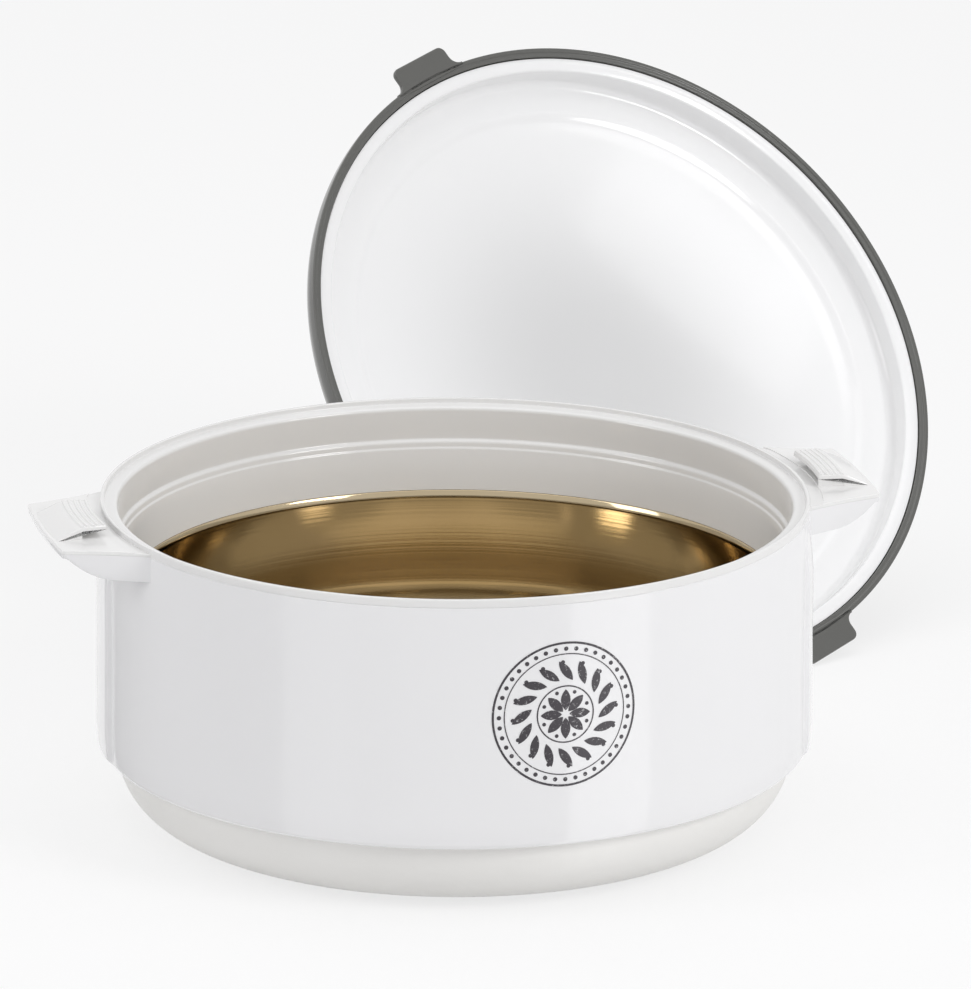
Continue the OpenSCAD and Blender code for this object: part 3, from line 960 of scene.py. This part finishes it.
def addTab(bm, turn):
    edge, half, root, corner = lid["radius"], lid["tabWidth"] / 2, lid["tabRoot"], lid["tabCorner"]
    out = edge + lid["tabOut"]
    side = [(edge - 2.5, half + root, 0)] + arc(edge + root - 0.8, half + root, root, 180, 270, 8)
    side += arc(out - corner, half - corner, corner, 90, 0, 8)
    plan = [Vector((x, y)) for x, y, _ in side] + [Vector((x, -y)) for x, y, _ in side[::-1]]
    rows = []
    for depth, height in ((0.4, 0), (0.1, 0.12), (0, 0.45), (0, lid["tabThick"] - 0.5),
                          (0.15, lid["tabThick"] - 0.12), (0.5, lid["tabThick"])):
        edgeLine = drawnIn(plan, depth) if depth else plan
        rows.append(turnedRow([(p.x, p.y, height) for p in edgeLine], turn))
    skin(bm, rows)


def buildCover():
    bm = bmesh.new()
    edge, flange, skinThick = lid["radius"], lid["gripFlange"] + lid["gap"], lid["skin"]
    band = lid["edgeHeight"]
    outside = [(edge - 1.6, 0, 0.3), (edge, 0, 0.4)] + domeCurve(edge, lid["rise"], band, edge, flange, 36)
    seat = lidHeight(lid["gripFlange"]) - 2
    shelf = [(flange, seat, 0.2), (flange - 5, seat, 0.3), (flange - 5, seat - skinThick, 0.3)]
    inside = domeCurve(edge - skinThick, lid["rise"] - skinThick, band, lid["gripFlange"] + 8.5,
                       edge - skinThick - 0.2, 24)
    inside += [(edge - lid["edgeWidth"], band + 1, 0), (edge - lid["edgeWidth"], 0.5, 0.3),
               (edge - 1.9, 0.5, 0.3)]
    lathe(bm, rounded(outside + shelf + inside))
    for turn in (0, 180):
        addTab(bm, turn)
    makePiece("lidCover", bm, "lid_outer", paint["charcoalGloss"], ["lid_cover"], atLid)


# Grip: a dish with a ringed flange, crossed by a lens-shaped bridge under an arch
grip = {
    "wellRadius": 78,
    "wellFloor": 25.5,
    "thickness": 2,
    "top": 54,
    "archEnd": 36.8,
    "bandReach": 86,
    "bandWidth": 20,
    "bandThick": 2,
    "sideRadius": 112,
    "belly": 38,
    "lean": 46,
    "blend": 5,
    "ringFirst": 80.9,
    "ringPitch": 2.4,
    "ringCount": 3,
    "ringHalfWidth": 0.55,
    "ringHeight": 0.5,
    "flare": 3,  # how much wider each side of the band is at its ends
    "flareOver": 14,
    "tailCut": 3,  # depth of the notch in each end
}


def archHeight(x):
    rise = grip["top"] - grip["archEnd"]
    radius = (grip["bandReach"] ** 2 + rise ** 2) / (2 * rise)
    return grip["top"] - radius + math.sqrt(radius ** 2 - x ** 2)


def wellHeight(radius):
    top = lidHeight(lid["gripFlange"]) + 0.2
    depth = top - grip["wellFloor"]
    start = grip["wellRadius"] - depth
    if radius < start:
        return grip["wellFloor"]
    if radius > grip["wellRadius"]:
        return top
    return grip["wellFloor"] + depth - math.sqrt(max(depth ** 2 - (radius - start) ** 2, 0))


# The greater of two heights, with a fillet where they meet
def softMax(a, b, blend):
    near = max(blend - abs(a - b), 0) / blend
    return max(a, b) + near * near * blend / 4


# Height of the grip's upper face: the well, or the bridge that stands in it under the band
def gripHeight(x, y):
    lean = math.radians(grip["lean"])
    reach = math.sqrt(max(grip["sideRadius"] ** 2 - x ** 2, 0)) - grip["sideRadius"]
    side = grip["wellFloor"] + (reach - (abs(y) - grip["belly"]) * math.cos(lean)) / math.sin(lean)
    under = archHeight(x) - grip["bandThick"] - 0.05
    bridge = under if abs(y) < grip["bandWidth"] / 2 - 1 else min(side, under)
    radius = math.hypot(x, y)
    well = wellHeight(radius)
    if radius > grip["wellRadius"]:
        return well
    return softMax(well, bridge, grip["blend"]) if bridge > well - grip["blend"] else well


def buildGrip():
    bm = bmesh.new()
    edge = lid["gripFlange"]
    radii = [0.8 * i for i in range(98)] + [78, 78.4, 79, 80, 82, 84, 85.5, edge - 0.4]
    top = lidHeight(edge) + 0.2
    under = grip["wellFloor"] - grip["thickness"]
    turns = [math.radians(1.2 * i) for i in range(300)]
    rows = []
    for radius in radii:
        plan = [(radius * math.cos(t), radius * math.sin(t)) for t in turns]
        rows.append([(x, y, gripHeight(x, y)) for x, y in plan])
    for radius, height in ((edge - 0.1, top - 0.1), (edge, top - 0.4), (edge, top - 2), (82, top - 2),
                           (80, top - 4), (74, under), (0, under)):
        rows.append([(radius * math.cos(t), radius * math.sin(t), height) for t in turns])
    skin(bm, rows, caps=False)
    addGrown(bm, ridges, First_Radius=grip["ringFirst"], Pitch=grip["ringPitch"], Count=grip["ringCount"],
             Start_Angle=0.0, Sweep_Angle=2 * math.pi, Segments=241,
             Ridge_Half_Width=grip["ringHalfWidth"], Ridge_Height=grip["ringHeight"],
             Closed_Ends=False, Level=top, Finish=paint["charcoalGloss"])
    makePiece("lidGrip", bm, "lid_outer", paint["charcoalGloss"], ["lid_grip"], atLid)


# The band over the grip: a flat strip along the arch, with fish-tail ends
def buildBand():
    bm = bmesh.new()
    reach, half, thick = grip["bandReach"], grip["bandWidth"] / 2, grip["bandThick"]
    across = (-1, -0.99, -0.95, -0.9, -0.6, -0.3, 0, 0.3, 0.6, 0.9, 0.95, 0.99, 1)
    rows = []
    for k in range(81):
        u = -1 + 2 * k / 80
        upper, lower = [], []
        for v in across:
            x = u * (reach - grip["tailCut"] * (1 - abs(v)) * abs(u) ** 8)
            width = half + grip["flare"] * ease(abs(x), reach - grip["flareOver"], reach)
            drop = 0.35 * ease(abs(v), 0.93, 1.0)
            upper.append((x, v * width, archHeight(x) - drop))
            lower.append((x, v * width, archHeight(x) - thick))
        rows.append(upper + lower[::-1])
    skin(bm, rows)
    piece = makePiece("gripBand", bm, "lid_outer", paint["charcoalTexture"],
                      ["grip_band"], atLid)
    layer = piece.data.uv_layers.new(name="bandLength")
    back = (atLid @ Matrix.Scale(mm, 4)).inverted()
    for loop in piece.data.loops:
        spot = back @ piece.data.vertices[loop.vertex_index].co
        layer.data[loop.index].uv = (spot.x, spot.y)


# Liner: the white inner skin of the lid, with a step and a shallow dome
liner = {"radius": 125.4, "thickness": 1.8, "step": 13, "domeRadius": 108, "domeTop": 20}


def buildLiner():
    bm = bmesh.new()
    r, thick, step, domeR = liner["radius"], liner["thickness"], liner["step"], liner["domeRadius"]
    rise = liner["domeTop"] - step
    capR = (domeR ** 2 + rise ** 2) / (2 * rise)
    edge = lid["radius"] - lid["edgeWidth"] - lid["gap"]

    def cap(radius):
        return liner["domeTop"] - capR + math.sqrt(capR ** 2 - radius ** 2)

    ceiling = [((domeR - 2) * i / 24, cap((domeR - 2) * i / 24), 0) for i in range(25)]
    ceiling += [(domeR + 0.6, step + 0.1, 1.2), (domeR + 3.4, step - 1.1, 1.6), (r - 2, step, 2.0),
                (r, step - 2.2, 1.2), (r, 2.4, 0.8), (edge - 2.4, 1.7, 0.8), (edge, 1.5, 0.3),
                (edge, 3.6, 0.3), (r + thick, 3.6, 0.5), (r + thick, step - 1.5, 1.0),
                (r - 0.9, step + thick, 1.0)]
    roof = [((domeR - 6) * (1 - i / 16), cap((domeR - 6) * (1 - i / 16)) + thick, 0) for i in range(17)]
    lathe(bm, rounded(ceiling + [(domeR, step + thick, 0.5)] + roof, closed=False), closed=False)
    makePiece("lidLiner", bm, "lid_inner", paint["linerWhite"], ["lid_liner"], atLid)


buildShell()
buildCollar()
buildBowl()
buildCup()
buildOrnament()
buildCover()
buildGrip()
buildBand()
buildLiner()
print("pieces done")

# Studio: a pale floor, an even sky and large soft boxes
studio = {
    "floorSize": 6,
    "floorBelow": 0.0002,
    "floorTone": 0.9,
    "floorWhite": 0.75,  # how much of the floor shows as plain white
    "sky": (0.98, 0.98, 1.0),
    "skyStrength": 0.5,
}


# Where the pale background shows: to the camera, and in gloss and clear things
def backgroundMask(tree):
    path = addNode(tree, "ShaderNodeLightPath").outputs
    seen = addMaths(tree, "MAXIMUM", path["Is Camera Ray"], path["Is Glossy Ray"])
    return addMaths(tree, "MAXIMUM", seen, path["Is Transmission Ray"])


# Two shaders mixed by a mask, into the tree's output
def addShaderMix(tree, mask, first, second, result):
    blend = addNode(tree, "ShaderNodeMixShader")
    for i, socket in enumerate((mask, first.outputs[0], second.outputs[0])):
        tree.links.new(socket, blend.inputs[i])
    setInputs(tree.nodes[result], Surface=blend.outputs[0])


def buildFloor():
    bm = bmesh.new()
    bmesh.ops.create_grid(bm, x_segments=4, y_segments=4, size=studio["floorSize"])
    floor = linkedObject("studioFloor", meshFrom(bm, "studioFloor"))
    floor.location.z = -studio["floorBelow"]
    material, tree, shader = newMaterial("paleFloor")
    tone = studio["floorTone"]
    setInputs(shader, Base_Color=(tone, tone, tone, 1), Roughness=0.9, Specular_IOR_Level=0.0)
    white = setInputs(addNode(tree, "ShaderNodeEmission"), Color=(1, 1, 1, 1), Strength=1.0)
    share = addMaths(tree, "MULTIPLY", backgroundMask(tree), studio["floorWhite"])
    addShaderMix(tree, share, shader, white, "Material Output")
    floor.data.materials.append(material)


def buildWorld():
    world = bpy.data.worlds.new("studioSky")
    bpy.context.scene.world = world
    world.use_nodes = True
    tree = world.node_tree
    sky = setInputs(tree.nodes["Background"], Color=(*studio["sky"], 1), Strength=studio["skyStrength"])
    white = setInputs(addNode(tree, "ShaderNodeBackground"), Color=(1, 1, 1, 1), Strength=1.0)
    addShaderMix(tree, backgroundMask(tree), sky, white, "World Output")


# Cards on the floor that only gloss sees: they give the wall its upright bands of tone. Each lies
# between the mirrored sight lines of two places on the wall, in degrees to the right of its middle
cards = {
    "cardDark": dict(start=-73.5, end=-28.5, tone=0.3),
    "cardMiddle": dict(start=-16.8, end=18.8, tone=0.75),
    "cardBright": dict(start=18.8, end=33, tone=1.9),
}
cardLength = 0.45
cardGap = 0.0025  # from the wall to a card's near edge
cardHeight = 0.0004


def addCards():
    front = view["turn"] - 90
    for name, card in cards.items():
        bm = bmesh.new()
        rows = []
        for i in range(13):
            degrees = card["start"] + (card["end"] - card["start"]) * i / 12
            t, ahead = math.radians(degrees + front), math.radians(2 * degrees + front)
            reach = rim["radius"] * mm + cardGap
            near = Vector((reach * math.cos(t), reach * math.sin(t), cardHeight))
            rows.append([near, near + cardLength * Vector((math.cos(ahead), math.sin(ahead), 0))])
        skin(bm, rows, closeLoops=False, caps=False)
        sheet = linkedObject(name, meshFrom(bm, name))
        material, tree, _ = newMaterial(name)
        glow = setInputs(addNode(tree, "ShaderNodeEmission"), Color=(1, 1, 1, 1), Strength=card["tone"])
        setInputs(tree.nodes["Material Output"], Surface=glow.outputs[0])
        sheet.data.materials.append(material)
        sheet.visible_camera = sheet.visible_diffuse = False
        sheet.visible_shadow = sheet.visible_transmission = False


softBoxes = {
    "keyRight": dict(place=(1.5, -1.9, 1.5), size=(1.0, 1.0), watts=26),
    "fillLeft": dict(place=(-2.2, -0.2, 1.1), size=(0.8, 1.4), watts=11.5),
    "top": dict(place=(0.0, 0.3, 2.4), size=(2.4, 2.4), watts=15),
    "window": dict(place=(1.33, -0.45, 1.58), size=(0.2, 0.26), watts=0.4),
}
softBoxTarget = (0, 0, 0.08)


def addSoftBoxes():
    for name, box in softBoxes.items():
        data = bpy.data.lights.new(name, "AREA")
        data.shape = "RECTANGLE"
        data.size, data.size_y = box["size"]
        data.energy = box["watts"]
        lamp = linkedObject(name, data)
        lamp.location = box["place"]
        lamp.rotation_euler = (Vector(softBoxTarget) - lamp.location).to_track_quat("-Z", "Y").to_euler()


buildFloor()
buildWorld()
addSoftBoxes()
addCards()
bpy.context.scene.view_settings.view_transform = "Standard"
print("studio ready")
